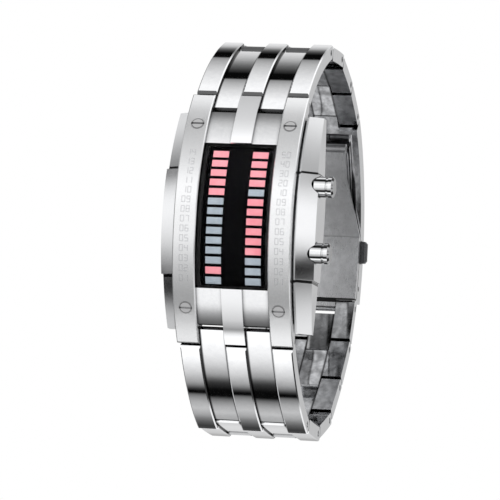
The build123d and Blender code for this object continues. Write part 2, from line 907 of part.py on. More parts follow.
blade_hinge_radius = (outer_blade_top + inner_blade_top - blade_thickness) / 2
blade_hinge = polar(clasp_centre, blade_hinge_radius, blade_hinge_angle)


def draw_sector(inner, outer, low, high):
    # Side outline of a curved plate of the clasp between two radii and two angles.
    middle = (low + high) / 2
    ThreePointArc(
        polar(clasp_centre, outer, low),
        polar(clasp_centre, outer, middle),
        polar(clasp_centre, outer, high),
    )
    Line(polar(clasp_centre, outer, high), polar(clasp_centre, inner, high))
    ThreePointArc(
        polar(clasp_centre, inner, high),
        polar(clasp_centre, inner, middle),
        polar(clasp_centre, inner, low),
    )
    Line(polar(clasp_centre, inner, low), polar(clasp_centre, outer, low))


def sector_slab(inner, outer, low, high, start, width, mode=Mode.ADD):
    # Curved plate of the clasp from X = start over a width.
    with BuildSketch(Plane.YZ.offset(start)) as outline:
        with BuildLine():
            draw_sector(inner, outer, low, high)
        make_face()
    extrude(outline.sketch, amount=width, mode=mode)


def barrel(centre, radius, start, width, mode=Mode.ADD):
    # Round knuckle or bore along X.
    with BuildSketch(Plane.YZ.offset(start)) as outline:
        with Locations(centre):
            Circle(radius)
    extrude(outline.sketch, amount=width, mode=mode)


def catch_plane(start):
    # Side plane at the push buttons, its first axis pointing out of the clasp.
    turn = math.radians(catch_angle)
    middle = polar(clasp_centre, clasp_radius - catch_depth, catch_angle)
    return Plane(
        origin=(start, *middle), x_dir=(0, math.cos(turn), math.sin(turn)), z_dir=(1, 0, 0)
    )


flange_start = half_width - cover_flange
with BuildPart() as clasp_cover:
    for start, width in raised_starts:
        sector_slab(
            clasp_radius - cover_plate, clasp_radius, cover_end_angle, cover_top_angle, start, width
        )
    for start in low_starts:
        low_radius = clasp_radius - strip_step
        sector_slab(
            clasp_radius - cover_plate,
            low_radius,
            cover_end_angle,
            cover_top_angle,
            start,
            low_width,
        )
    for start in (-half_width, flange_start):
        flange_low = clasp_radius - cover_flange_depth
        sector_slab(
            flange_low, clasp_radius, cover_end_angle, cover_top_angle, start, cover_flange
        )
    for start, width in raised_starts:
        sector_slab(
            clasp_radius - link_thickness,
            clasp_radius,
            block_angle + reach_angle,
            cover_top_angle,
            start,
            width,
        )
    block_far = polar(clasp_centre, clasp_mid_radius, block_angle)
    for start in low_starts:
        with BuildSketch(Plane.YZ.offset(start)):
            with BuildLine():
                draw_strip(cover_pivot, block_far, cover_block_angle / 2, low_top, False)
            make_face()
        extrude(amount=low_width)
        for slot in (start - side_gap, start + low_width - side_gap):
            with BuildSketch(Plane.YZ.offset(slot)):
                with BuildLine():
                    draw_tab_limit(cover_pivot, block_far, cover_block_angle / 2)
                make_face()
            extrude(amount=side_gap * 2, mode=Mode.SUBTRACT)
    bore(upper_plane, cover_pivot, pin_radius + pin_running_fit)
    barrel(
        cover_hinge, blade_pin_radius + pin_fit, -half_width, bracelet_width, mode=Mode.SUBTRACT
    )
    for start in (-half_width - overrun, flange_start - overrun):
        with BuildSketch(catch_plane(start)):
            Rectangle(catch_height + catch_play * 2, catch_length + catch_play * 2)
        extrude(amount=cover_flange + overrun * 2, mode=Mode.SUBTRACT)
save(clasp_cover, "clasp_cover")

with BuildPart() as outer_blade:
    blade_width = blade_half_width * 2
    sector_slab(
        outer_blade_top - blade_thickness,
        outer_blade_top,
        cover_hinge_angle,
        blade_hinge_angle,
        -blade_half_width,
        blade_width,
    )
    side_width = blade_half_width - blade_knuckle_half
    clear_angle = blade_hinge_angle - knuckle_clear_angle
    for start in (-blade_half_width, blade_knuckle_half):
        sector_slab(
            inner_blade_top,
            clasp_radius,
            clear_angle,
            blade_hinge_angle + knuckle_clear_angle,
            start,
            side_width,
            mode=Mode.SUBTRACT,
        )
    barrel(cover_hinge, blade_knuckle, -blade_half_width, blade_width)
    barrel(blade_hinge, blade_knuckle, -blade_knuckle_half, blade_knuckle_half * 2)
    barrel(
        cover_hinge,
        blade_pin_radius + pin_running_fit,
        -blade_half_width,
        blade_width,
        mode=Mode.SUBTRACT,
    )
    barrel(blade_hinge, blade_pin_radius + pin_fit, -blade_half_width, blade_width, Mode.SUBTRACT)
save(outer_blade, "outer_blade")

end_pivot = (lower_stations[-1][0], -lower_stations[-1][1])
end_angle = chord(clasp_centre, end_pivot)[1]
end_radius = chord(clasp_centre, end_pivot)[0]
blade_end_angle = end_angle + math.degrees(knuckle_reach / end_radius)
with BuildPart() as inner_blade:
    sector_slab(
        inner_blade_top - blade_thickness,
        inner_blade_top,
        shoulder_end_angle,
        blade_hinge_angle,
        -half_width,
        bracelet_width,
    )
    sector_slab(
        inner_blade_top - wide_blade_thickness,
        inner_blade_top,
        blade_end_angle,
        shoulder_end_angle,
        -half_width,
        bracelet_width,
    )
    with BuildSketch(Plane.XZ.offset(-loop_depth)):
        shoulder_low = polar(clasp_centre, inner_blade_top, shoulder_end_angle)[1]
        shoulder_high = polar(clasp_centre, inner_blade_top, shoulder_top_angle)[1]
        Polygon(
            (half_width, -loop_rise),
            (half_width, shoulder_low),
            (blade_half_width, shoulder_high),
            (blade_half_width, loop_rise),
            (-blade_half_width, loop_rise),
            (-blade_half_width, shoulder_high),
            (-half_width, shoulder_low),
            (-half_width, -loop_rise),
            align=None,
        )
    extrude(amount=loop_depth, mode=Mode.INTERSECT)
    sector_slab(
        inner_blade_top - blade_thickness,
        inner_blade_top + blade_thickness,
        clear_angle,
        blade_hinge_angle + knuckle_clear_angle,
        -blade_knuckle_half - knuckle_gap,
        (blade_knuckle_half + knuckle_gap) * 2,
        mode=Mode.SUBTRACT,
    )
    for start in (-blade_half_width, blade_knuckle_half + knuckle_gap):
        barrel(blade_hinge, blade_knuckle, start, side_width - knuckle_gap)
    barrel(
        blade_hinge,
        blade_pin_radius + pin_running_fit,
        -blade_half_width,
        blade_width,
        mode=Mode.SUBTRACT,
    )
    # Two tabs reach down to the last link's pin and cradle it from one side
    for start in low_starts:
        sector_slab(
            end_radius - link_half,
            inner_blade_top,
            end_angle,
            blade_end_angle,
            start + side_gap,
            low_width - side_gap * 2,
        )
    barrel(
        end_pivot, pin_radius + saddle_clearance, -half_width, bracelet_width, mode=Mode.SUBTRACT
    )
save(inner_blade, "inner_blade")

with BuildPart() as cover_hinge_pin:
    barrel(cover_hinge, blade_pin_radius, -half_width + side_gap, bracelet_width - side_gap * 2)
save(cover_hinge_pin, "cover_hinge_pin")

with BuildPart() as blade_hinge_pin:
    barrel(blade_hinge, blade_pin_radius, -blade_half_width + side_gap, blade_width - side_gap * 2)
save(blade_hinge_pin, "blade_hinge_pin")

# Push buttons of the clasp: a chamfered head outside, a wider plate inside
for side, label in ((-1, "left_clasp_button"), (1, "right_clasp_button")):
    with BuildPart() as clasp_button:
        inner_face = side * (flange_start - catch_play)
        with BuildSketch(catch_plane(inner_face)):
            Rectangle(catch_height, catch_length)
        extrude(amount=side * (cover_flange + catch_play + catch_out))
        outer_face = clasp_button.faces().sort_by(Axis.X)[-1 if side > 0 else 0]
        chamfer(outer_face.edges(), length=catch_chamfer)
        with BuildSketch(catch_plane(inner_face)):
            Rectangle(catch_height, catch_length + catch_lip * 2)
        extrude(amount=-side * catch_plate)
    save(clasp_button, label)
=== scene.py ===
import json
import math
import bpy
import numpy as np
from mathutils import Matrix, Vector


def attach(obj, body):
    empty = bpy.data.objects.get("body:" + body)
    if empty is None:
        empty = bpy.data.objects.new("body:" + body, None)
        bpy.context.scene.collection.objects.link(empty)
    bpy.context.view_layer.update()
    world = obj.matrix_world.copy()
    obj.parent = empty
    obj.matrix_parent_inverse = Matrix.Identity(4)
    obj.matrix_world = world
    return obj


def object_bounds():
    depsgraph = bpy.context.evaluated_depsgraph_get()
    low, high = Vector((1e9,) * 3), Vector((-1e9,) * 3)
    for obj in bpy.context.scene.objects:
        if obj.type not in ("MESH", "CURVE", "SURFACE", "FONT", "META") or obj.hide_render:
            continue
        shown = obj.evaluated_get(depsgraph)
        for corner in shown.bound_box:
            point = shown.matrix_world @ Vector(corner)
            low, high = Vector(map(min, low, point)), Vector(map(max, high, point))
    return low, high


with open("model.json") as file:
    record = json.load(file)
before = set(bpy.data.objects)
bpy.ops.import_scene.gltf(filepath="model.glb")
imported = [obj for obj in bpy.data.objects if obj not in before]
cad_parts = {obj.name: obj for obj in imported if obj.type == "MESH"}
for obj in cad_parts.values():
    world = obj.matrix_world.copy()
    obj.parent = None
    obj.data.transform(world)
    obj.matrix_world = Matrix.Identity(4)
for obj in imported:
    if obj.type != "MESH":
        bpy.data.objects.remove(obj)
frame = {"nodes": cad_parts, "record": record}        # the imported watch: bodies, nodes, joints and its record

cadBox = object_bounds()
nodes = frame["nodes"]
millimetre = 0.001
print("frame loaded:", len(nodes), "nodes")

# The camera, at the photo's viewing angle.
cameraSetup = {
    "place": (0.13342, -0.58128, -0.06858),
    "right": (0.97461, 0.21457, 0.06399),
    "back": (0.2204, -0.96972, -0.10522),
    "lens": 225.4,
    "sensor": 36,
    "near": 0.01,
    "far": 20,
}


def placeCamera(setup):
    # The camera stands where the photo was taken from; its axes are squared up first.
    data = bpy.data.cameras.new("photoCamera")
    data.lens = setup["lens"]
    data.sensor_width = setup["sensor"]
    data.clip_start, data.clip_end = setup["near"], setup["far"]
    camera = bpy.data.objects.new("photoCamera", data)
    bpy.context.scene.collection.objects.link(camera)
    right, back = np.array(setup["right"]), np.array(setup["back"])
    right /= np.linalg.norm(right)
    back -= back.dot(right) * right
    back /= np.linalg.norm(back)
    turn = Matrix(np.stack([right, np.cross(back, right), back], axis=1).tolist()).to_4x4()
    camera.matrix_world = Matrix.Translation(setup["place"]) @ turn
    bpy.context.scene.camera = camera


placeCamera(cameraSetup)
print("camera placed")


def meshPiece(name, points, faces, smooth=True):
    # One mesh object at the origin from arrays of points and faces.
    mesh = bpy.data.meshes.new(name)
    mesh.from_pydata(np.asarray(points).tolist(), [], np.asarray(faces).tolist())
    mesh.polygons.foreach_set("use_smooth", [smooth] * len(mesh.polygons))
    mesh.update()
    piece = bpy.data.objects.new(name, mesh)
    bpy.context.scene.collection.objects.link(piece)
    return piece


def gridFaces(rows, columns):
    # Quads of a grid, row by row, with its last column joined to the first.
    row, column = np.meshgrid(np.arange(rows - 1), np.arange(columns), indexing="ij")
    after = (column + 1) % columns
    corners = (row * columns + column, row * columns + after)
    corners += ((row + 1) * columns + after, (row + 1) * columns + column)
    return np.stack([corner.ravel() for corner in corners], axis=1)


# Helpers for shader nodes.
def addNode(tree, kind, values=None, **settings):
    # One shader node with its settings, and its input values by socket name or number.
    node = tree.nodes.new(kind)
    for key, value in settings.items():
        setattr(node, key, value)
    for key, value in (values or {}).items():
        node.inputs[key].default_value = value
    return node


def join(tree, source, target, output=0):
    # Link an output of one node to an input socket of another.
    tree.links.new(source.outputs[output], target)


def feed(tree, socket, operand):
    # Give an input its value: a number, a node, or a node with the name of its output.
    if isinstance(operand, (int, float)):
        socket.default_value = operand
    elif isinstance(operand, tuple):
        join(tree, operand[0], socket, operand[1])
    else:
        join(tree, operand, socket)


def mathNode(tree, operation, *operands):
    # A math node with its operands in order.
    node = addNode(tree, "ShaderNodeMath", operation=operation)
    for place, operand in enumerate(operands):
        feed(tree, node.inputs[place], operand)
    return node


def rangeNode(tree, source, limits, **settings):
    # A map range node with its limits by socket name; a limit that isn't given stays 0 or 1.
    node = addNode(tree, "ShaderNodeMapRange", **settings)
    feed(tree, node.inputs["Value"], source)
    for key, operand in limits.items():
        feed(tree, node.inputs[key], operand)
    return node


def partsOf(tree, output):
    # The X, Y and Z of the place on a piece ("Object") or of its surface normal ("Normal").
    place = addNode(tree, "ShaderNodeTexCoord")
    parts = addNode(tree, "ShaderNodeSeparateXYZ")
    join(tree, place, parts.inputs[0], output)
    return parts


def sizeOf(tree, operand):
    # How far a value is from nought, either way.
    return mathNode(tree, "ABSOLUTE", operand)


def rampNode(tree, source, stops):
    # A grey ramp with stops of (position, value).
    ramp = addNode(tree, "ShaderNodeValToRGB")
    elements = ramp.color_ramp.elements
    while len(elements) < len(stops):
        elements.new(0.5)
    for element, (position, value) in zip(elements, stops):
        element.position = position
    for element, (position, value) in zip(elements, stops):
        element.color = (value, value, value, 1)
    join(tree, source, ramp.inputs["Fac"])
    return ramp


def newMaterial(name):
    # An empty node material with its output.
    material = bpy.data.materials.new(name)
    material.use_nodes = True
    tree = material.node_tree
    tree.nodes.clear()
    return material, tree, addNode(tree, "ShaderNodeOutputMaterial")


# The studio: white surround, a dome of soft panels and a floor. Panels are (degrees round X, tone).
studio = {
    "fill": 0.85,
    "domeRadius": 1.5,
    "domeTurns": 96,
    "domeTilts": 48,
    "domePole": 0.02,        # how far the first and last rings stay from the poles, in radians
    "sideStart": 0.28,
    "sideEnd": 0.40,
    "lowerPanels": (
        (-180, 0.58), (-168, 0.60), (-158, 0.82), (-150, 0.6), (-138, 0.25), (-128, 0.05), (-124, 0.13),
        (-120.8, 0.25), (-117.5, 0.46), (-112.5, 0.64), (-107.7, 0.50), (-103.5, 0.26),
        (-102.4, 0.16), (-101.9, 0.003), (-99.2, 0.003), (-97.6, 0.10), (-94.7, 0.38),
        (-88, 0.78), (-79, 1.24), (-74, 1.35),
    ),
    "frontPanels": (
        (-79, 1.24), (-75, 1.35), (-69, 1.14), (-63, 0.92), (-57, 0.62), (-49, 0.34), (-42, 0.46),
        (-34, 0.56), (-26, 0.64), (-18, 0.88), (-9, 1.10), (0, 1.12), (10, 1.12), (18, 1.28),
        (26, 1.30), (34, 0.98), (42, 0.78), (52, 0.72), (62, 0.66), (70, 0.54), (76, 0.62), (88, 1.18),
    ),
    "upperPanels": (
        (84, 1.02), (88, 1.18), (97, 1.17), (108, 0.88), (120, 0.50), (124.6, 0.30),
        (125.1, 0.003), (131.0, 0.003), (134, 0.06), (137, 0.19), (140.3, 0.54),
        (143.5, 0.75), (147, 0.89), (157, 0.86), (168, 0.60), (180, 0.58),
    ),
    "rightPanels": (
        (-180, 0.58), (-160, 0.9), (-132, 1.1), (-127, 0.05), (-108, 0.05), (-98, 0.8), (-72, 1.02),
        (-57, 0.80), (-44, 0.50), (-37, 0.34), (-34, 0.0), (-25, 0.0), (-21, 0.15), (-15, 0.72), (-9, 1.05),
        (-3, 1.18), (18, 1.18), (28, 0.92), (34, 0.68), (45, 0.48), (56, 0.60), (66, 0.74),
        (80, 1.0), (100, 1.15), (120, 1.25), (150, 1.2), (165, 0.60), (180, 0.58),
    ),
    "leftPanels": (
        (-180, 0.30), (-145, 0.22), (-132, 0.7), (-95, 0.69), (-89, 0.55), (-83, 0.35), (-78, 0.10),
        (-72, 0.0), (-56, 0.0), (-53, 0.20), (-48, 0.34), (-43, 0.42), (-31, 0.60), (-22, 0.78), (-14, 0.87),
        (0, 1.0), (12, 1.08), (24, 1.16), (40, 1.12), (48, 0.98), (55, 0.74), (60, 0.30), (64, 0.10),
        (72, 0.28), (84, 0.55), (100, 0.9), (132, 0.7), (145, 0.22), (180, 0.30),
    ),
    "lowerStart": -78,
    "upperStart": 88,
    "floorDrop": 0.0004,
    "floorSize": 3.0,
    "floorTone": 0.93,
}
keyLamp = {"place": (-0.5, -0.9, 0.9), "aim": (0, 0.02, 0), "size": 0.8, "power": 5.0}


def buildWorld(setup):
    # White to the eye and to reflections, a plain fill for everything else.
    world = bpy.data.worlds.new("studioWorld")
    bpy.context.scene.world = world
    world.use_nodes = True
    tree = world.node_tree
    tree.nodes.clear()
    path = addNode(tree, "ShaderNodeLightPath")
    white = addNode(tree, "ShaderNodeBackground", {"Color": (1, 1, 1, 1), "Strength": 1})
    fill = addNode(tree, "ShaderNodeBackground", {"Color": (1, 1, 1, 1), "Strength": setup["fill"]})
    seen = mathNode(tree, "MAXIMUM", (path, "Is Camera Ray"), (path, "Is Glossy Ray"))
    seen = mathNode(tree, "MAXIMUM", seen, (path, "Is Transmission Ray"))
    mix = addNode(tree, "ShaderNodeMixShader")
    join(tree, seen, mix.inputs[0])
    join(tree, fill, mix.inputs[1])
    join(tree, white, mix.inputs[2])
    join(tree, mix, addNode(tree, "ShaderNodeOutputWorld").inputs["Surface"])


def turnShare(degrees):
    # Where an angle of -180 to 180 degrees falls between 0 and 1.
    return (degrees + 180) / 360


def panelRamp(tree, share, panels):
    # A ramp of panel tones by the angle round X, halved because a ramp holds no more than one.
    return rampNode(tree, share, [(turnShare(degrees), tone / 2) for degrees, tone in panels])


def mixTones(tree, factor, first, second):
    # Mix of two tones by a factor, as an operand with its output.
    mix = addNode(tree, "ShaderNodeMix", data_type="RGBA")
    feed(tree, mix.inputs[0], factor)
    feed(tree, mix.inputs[6], first)
    feed(tree, mix.inputs[7], second)
    return mix, 2


def domeShape(setup):
    # A ball as rings about X: X is the radius times the cosine of the tilt, and the ring's own
    # radius, times the sine of the tilt, is split over Y and Z by the cosine and sine of the turn.
    radius, pole = setup["domeRadius"], setup["domePole"]
    turn = np.linspace(0, 2 * np.pi, setup["domeTurns"], endpoint=False)
    tilt = np.linspace(pole, np.pi - pole, setup["domeTilts"])
    tiltGrid, turnGrid = np.meshgrid(tilt, turn, indexing="ij")
    across = radius * np.cos(tiltGrid)
    away = radius * np.sin(tiltGrid)
    points = np.stack([across, away * np.cos(turnGrid), away * np.sin(turnGrid)], axis=-1)
    faces = gridFaces(setup["domeTilts"], setup["domeTurns"])
    return meshPiece("studioDome", points.reshape(-1, 3), faces)


def buildDome(setup):
    # A round tent of soft panels that only reflections see: its tone follows the angle round X.
    dome = domeShape(setup)
    material, tree, output = newMaterial("domePanels")
    place = partsOf(tree, "Object")
    forward = mathNode(tree, "MULTIPLY", (place, "Y"), -1.0)
    angle = mathNode(tree, "ARCTAN2", (place, "Z"), forward)
    share = mathNode(tree, "MULTIPLY_ADD", angle, 1 / (2 * math.pi), 0.5)
    ramps = {
        key: panelRamp(tree, share, setup[key + "Panels"])
        for key in ("front", "upper", "lower", "right", "left")
    }
    high = mathNode(tree, "GREATER_THAN", share, turnShare(setup["upperStart"]))
    low = mathNode(tree, "LESS_THAN", share, turnShare(setup["lowerStart"]))
    onLeft = mathNode(tree, "LESS_THAN", (place, "X"), 0.0)
    middle = mixTones(tree, high, ramps["front"], ramps["upper"])
    middle = mixTones(tree, low, middle, ramps["lower"])
    sides = mixTones(tree, onLeft, ramps["right"], ramps["left"])
    limits = {
        "From Min": setup["sideStart"] * setup["domeRadius"],
        "From Max": setup["sideEnd"] * setup["domeRadius"],
    }
    aside = rangeNode(tree, sizeOf(tree, (place, "X")), limits, interpolation_type="SMOOTHSTEP")
    glow = addNode(tree, "ShaderNodeEmission", {"Strength": 2.0})        # makes up for the halved ramps
    feed(tree, glow.inputs["Color"], mixTones(tree, aside, middle, sides))
    join(tree, glow, output.inputs["Surface"])
    dome.data.materials.append(material)
    for kind in ("camera", "diffuse", "transmission", "volume_scatter", "shadow"):
        setattr(dome, "visible_" + kind, False)


def buildFloor(setup):
    # A pale floor under the watch; from below it is clear, since the photo looks up from there.
    low = cadBox[0].z - setup["floorDrop"]
    half = setup["floorSize"]
    corners = [(-half, -half, low), (half, -half, low), (half, half, low), (-half, half, low)]
    floor = meshPiece("studioFloor", corners, [(0, 1, 2, 3)], smooth=False)
    material, tree, output = newMaterial("paleFloor")
    tone = setup["floorTone"]
    paint = addNode(tree, "ShaderNodeBsdfDiffuse", {"Color": (tone, tone, tone, 1)})
    clear = addNode(tree, "ShaderNodeBsdfTransparent")
    side = addNode(tree, "ShaderNodeNewGeometry")
    mix = addNode(tree, "ShaderNodeMixShader")
    join(tree, side, mix.inputs[0], "Backfacing")
    join(tree, paint, mix.inputs[1])
    join(tree, clear, mix.inputs[2])
    join(tree, mix, output.inputs["Surface"])
    floor.data.materials.append(material)
    floor.visible_glossy = False


def addLamp(name, setup):
    # A square soft lamp aimed at a point; its gloss is left to the dome.
    data = bpy.data.lights.new(name, "AREA")
    data.size = setup["size"]
    data.energy = setup["power"]
    lamp = bpy.data.objects.new(name, data)
    bpy.context.scene.collection.objects.link(lamp)
    turn = (Vector(setup["aim"]) - Vector(setup["place"])).to_track_quat("-Z", "Y")
    lamp.matrix_world = Matrix.Translation(setup["place"]) @ turn.to_matrix().to_4x4()
    lamp.visible_glossy = False


buildWorld(studio)
buildDome(studio)
buildFloor(studio)
addLamp("keyLamp", keyLamp)
bpy.context.scene.view_settings.view_transform = "Standard"
print("studio ready")


# Shader groups: effects that several finishes share.
def newGroup(name, inputs, outputs):
    # An empty shader group with named inputs (a number or a vector each) and outputs (name, kind).
    group = bpy.data.node_groups.new(name, "ShaderNodeTree")
    for label, value in inputs.items():
        kind = "NodeSocketVector" if isinstance(value, tuple) else "NodeSocketFloat"
        group.interface.new_socket(label, in_out="INPUT", socket_type=kind).default_value = value
    for label, kind in outputs.items():
        group.interface.new_socket(label, in_out="OUTPUT", socket_type="NodeSocket" + kind)
    return group, addNode(group, "NodeGroupInput"), addNode(group, "NodeGroupOutput")


def shadeBy(group, mask, dark):
    # One where the mask is nought, and the dark value where the mask is one.
    lost = mathNode(group, "SUBTRACT", 1.0, dark)
    return mathNode(group, "SUBTRACT", 1.0, mathNode(group, "MULTIPLY", mask, lost))


def distance(group, first, second):
    # How far two values are apart.
    return sizeOf(group, mathNode(group, "SUBTRACT", first, second))


def grainGroup():
    # Fine brush lines: noise stretched along the brushing, as a height and as a tone.
    group, given, result = newGroup(
        "brushGrain",
        {"Stretch": (1, 1, 1), "Scale": 4000.0, "Detail": 3.0},
        {"Height": "Float", "Tone": "Float"},
    )
    place = addNode(group, "ShaderNodeTexCoord")
    mapping = addNode(group, "ShaderNodeMapping")
    join(group, place, mapping.inputs["Vector"], "Object")
    join(group, given, mapping.inputs["Scale"], "Stretch")
    fine = addNode(group, "ShaderNodeTexNoise", {"Roughness": 0.6})
    join(group, mapping, fine.inputs["Vector"])
    join(group, given, fine.inputs["Scale"], "Scale")
    join(group, given, fine.inputs["Detail"], "Detail")
    join(group, fine, result.inputs["Height"])
    join(group, rangeNode(group, fine, {"From Min": 0.3, "From Max": 0.7}), result.inputs["Tone"])
    return group


def handlingGroup():
    # Faint smudges and hairlines that polished metal gathers when it is worn and handled.
    group, given, result = newGroup(
        "handlingMarks",
        {"Smudge size": 160.0, "Hairline size": 900.0},
        {"Smudge": "Float", "Hairline": "Float"},
    )
    place = addNode(group, "ShaderNodeTexCoord")
    smudge = addNode(group, "ShaderNodeTexNoise", {"Detail": 4.0, "Roughness": 0.55})
    join(group, place, smudge.inputs["Vector"], "Object")
    join(group, given, smudge.inputs["Scale"], "Smudge size")
    join(group, rampNode(group, smudge, ((0.35, 0.0), (0.7, 1.0))), result.inputs["Smudge"])
    mapping = addNode(group, "ShaderNodeMapping", {"Rotation": (0.4, 0.7, 0.3), "Scale": (1, 14, 1)})
    join(group, place, mapping.inputs["Vector"], "Object")
    lines = addNode(group, "ShaderNodeTexNoise", {"Detail": 2.0, "Roughness": 0.5})
    join(group, mapping, lines.inputs["Vector"])
    join(group, given, lines.inputs["Scale"], "Hairline size")
    join(group, rampNode(group, lines, ((0.60, 0.0), (0.72, 1.0))), result.inputs["Hairline"])
    return group


def creviceShadeGroup():
    # How open a place is, as painted shade: the colour darkens in gaps and along steps.
    group, given, result = newGroup("creviceShade", {"Reach": 0.0008, "Floor": 0.1}, {"Openness": "Float"})
    around = addNode(group, "ShaderNodeAmbientOcclusion", samples=8)
    join(group, given, around.inputs["Distance"], "Reach")
    limits = {"From Min": 0.15, "From Max": 0.85, "To Min": (given, "Floor")}
    join(group, rangeNode(group, (around, "AO"), limits), result.inputs["Openness"])
    return group


def bendNode(group, given, source, labels):
    # A bend in radians that eases from one value to another over a reach, from named inputs.
    limits = {key: (given, label) for key, label in labels.items()}
    return rangeNode(group, source, limits, interpolation_type="SMOOTHSTEP")


def stripGroup():
    # The low strips of a link are bent a little more than the raised ones: this turns their normal.
    # Above the middle the bend is greatest at Height; below it, it eases from Lower height on.
    group, given, result = newGroup(
        "stripBend",
        {
            "Inner": 0.00202, "Outer": 0.00703,
            "Height": 0.0294, "Reach": 0.008, "Bend": 0.175, "End bend": 0.06,
            "Lower height": 0.021, "Lower reach": 0.006, "Lower bend": -0.087, "Lower end bend": -0.040,
            "Tail height": 0.0299, "Tail reach": 0.0044, "Tail bend": 0.080,
        },
        {"Normal": "Vector"},
    )
    place = partsOf(group, "Object")
    aside, along = sizeOf(group, (place, "X")), sizeOf(group, (place, "Z"))
    inner = mathNode(group, "GREATER_THAN", aside, (given, "Inner"))
    outer = mathNode(group, "LESS_THAN", aside, (given, "Outer"))
    mask = mathNode(group, "MULTIPLY", inner, outer)
    bend = bendNode(
        group, given, distance(group, (place, "Z"), (given, "Height")),
        {"From Max": "Reach", "To Min": "Bend", "To Max": "End bend"},
    )
    lower = bendNode(
        group, given, mathNode(group, "SUBTRACT", along, (given, "Lower height")),
        {"From Max": "Lower reach", "To Min": "Lower bend", "To Max": "Lower end bend"},
    )
    tail = bendNode(
        group, given, mathNode(group, "SUBTRACT", along, (given, "Tail height")),
        {"From Max": "Tail reach", "To Max": "Tail bend"},
    )
    isUpper = mathNode(group, "GREATER_THAN", (place, "Z"), 0.0)
    isLower = mathNode(group, "SUBTRACT", 1.0, isUpper)
    above = mathNode(group, "MULTIPLY", bend, isUpper)
    below = mathNode(group, "MULTIPLY", mathNode(group, "ADD", lower, tail), isLower)
    angle = mathNode(group, "MULTIPLY", mathNode(group, "ADD", above, below), mask)
    facing = addNode(group, "ShaderNodeNewGeometry")
    turn = addNode(group, "ShaderNodeVectorRotate", rotation_type="X_AXIS")
    join(group, facing, turn.inputs["Vector"], "Normal")
    join(group, mathNode(group, "MULTIPLY", angle, -1.0), turn.inputs["Angle"])
    join(group, turn, result.inputs["Normal"])
    return group


def loopShadeGroup():
    # Where a face looks towards the middle of the bracelet, its colour is darkened and mottled: painted shade
    # inside the loop.
    # The mask is the dot product of the surface normal and the place seen from the loop's centre.
    group, given, result = newGroup(
        "loopInsideShade", {"Centre": 0.033, "Dark": 0.52, "Light": 0.92}, {"Tone": "Float"}
    )
    place = addNode(group, "ShaderNodeTexCoord")
    away = addNode(group, "ShaderNodeVectorMath", operation="SUBTRACT")
    join(group, place, away.inputs[0], "Object")
    centre = addNode(group, "ShaderNodeCombineXYZ")
    join(group, given, centre.inputs["Y"], "Centre")
    join(group, centre, away.inputs[1])
    flat = addNode(group, "ShaderNodeVectorMath", {1: (0, 1, 1)}, operation="MULTIPLY")
    join(group, away, flat.inputs[0])
    dot = addNode(group, "ShaderNodeVectorMath", operation="DOT_PRODUCT")
    join(group, flat, dot.inputs[0])
    join(group, place, dot.inputs[1], "Normal")
    inside = rangeNode(group, (dot, "Value"), {"From Min": -0.004, "From Max": -0.014})
    mottle = addNode(group, "ShaderNodeTexNoise", {"Scale": 600.0, "Detail": 3.0, "Distortion": 0.3})
    join(group, place, mottle.inputs["Vector"], "Object")
    limits = {"From Min": 0.35, "From Max": 0.65, "To Min": (given, "Dark"), "To Max": (given, "Light")}
    join(group, shadeBy(group, inside, rangeNode(group, mottle, limits)), result.inputs["Tone"])
    return group


def wallShadeGroup():
    # Painted shade on the upright walls of narrow steps, on the fronts of the upper lips and in the
    # corners beside the raised strips.
    group, given, result = newGroup(
        "stepWallShade",
        {
            "Width": 0.0073, "Sideways": 0.85, "Dark": 0.05,
            "Lip": 0.9, "Lip facing": -0.93, "Lip height": 0.0225,
            "Inner": 0.00212, "Outer": 0.00693, "Flat": 0.2,
            "Corner near": 0.00008, "Corner far": 0.0003, "Corner": 0.85,
        },
        {"Tone": "Float"},
    )
    place, facing = partsOf(group, "Object"), partsOf(group, "Normal")
    aside, sideways = sizeOf(group, (place, "X")), sizeOf(group, (facing, "X"))
    wallShadeMask = mathNode(
        group, "MULTIPLY",
        mathNode(group, "GREATER_THAN", sideways, (given, "Sideways")),
        mathNode(group, "LESS_THAN", aside, (given, "Width")),
    )
    lip = mathNode(
        group, "MULTIPLY",
        mathNode(group, "LESS_THAN", (facing, "Y"), (given, "Lip facing")),
        mathNode(group, "GREATER_THAN", (place, "Z"), (given, "Lip height")),
    )
    wallShadeMask = mathNode(group, "MAXIMUM", wallShadeMask, mathNode(group, "MULTIPLY", lip, (given, "Lip")))
    flat = mathNode(group, "LESS_THAN", sideways, (given, "Flat"))
    limits = {
        "From Min": (given, "Corner near"), "From Max": (given, "Corner far"),
        "To Min": (given, "Corner"), "To Max": 0.0,
    }
    for edge in ("Inner", "Outer"):
        corner = rangeNode(group, distance(group, aside, (given, edge)), limits)
        wallShadeMask = mathNode(group, "MAXIMUM", wallShadeMask, mathNode(group, "MULTIPLY", corner, flat))
    join(group, shadeBy(group, wallShadeMask, (given, "Dark")), result.inputs["Tone"])
    return group


def seamShadeGroup():
    # Two dark lines of painted shade across a wing, in the corners of its proud middle.
    group, given, result = newGroup(
        "stepSeamShade",
        {"Upper": 0.00872, "Lower": -0.01185, "Upper half": 0.00024, "Lower half": 0.00026, "Dark": 0.04},
        {"Tone": "Float"},
    )
    place = partsOf(group, "Object")
    upper, lower = (
        mathNode(group, "LESS_THAN", distance(group, (place, "Z"), (given, edge)), (given, edge + " half"))
        for edge in ("Upper", "Lower")
    )
    line = mathNode(group, "MAXIMUM", upper, lower)
    join(group, shadeBy(group, line, (given, "Dark")), result.inputs["Tone"])
    return group


# Painted reflections: dark and light bands on a button by the way its surface faces.
buttonReflectionBands = (        # tone by how far the side faces up, from 0 for down to 1 for up
    (0.0, 0.15), (0.04, 0.15), (0.08, 1.0), (0.19, 0.9), (0.22, 0.02), (0.28, 0.02), (0.32, 1.0),
    (0.68, 1.0), (0.72, 0.02), (0.81, 0.02), (0.85, 0.9), (0.95, 0.9), (1.0, 0.2),
)


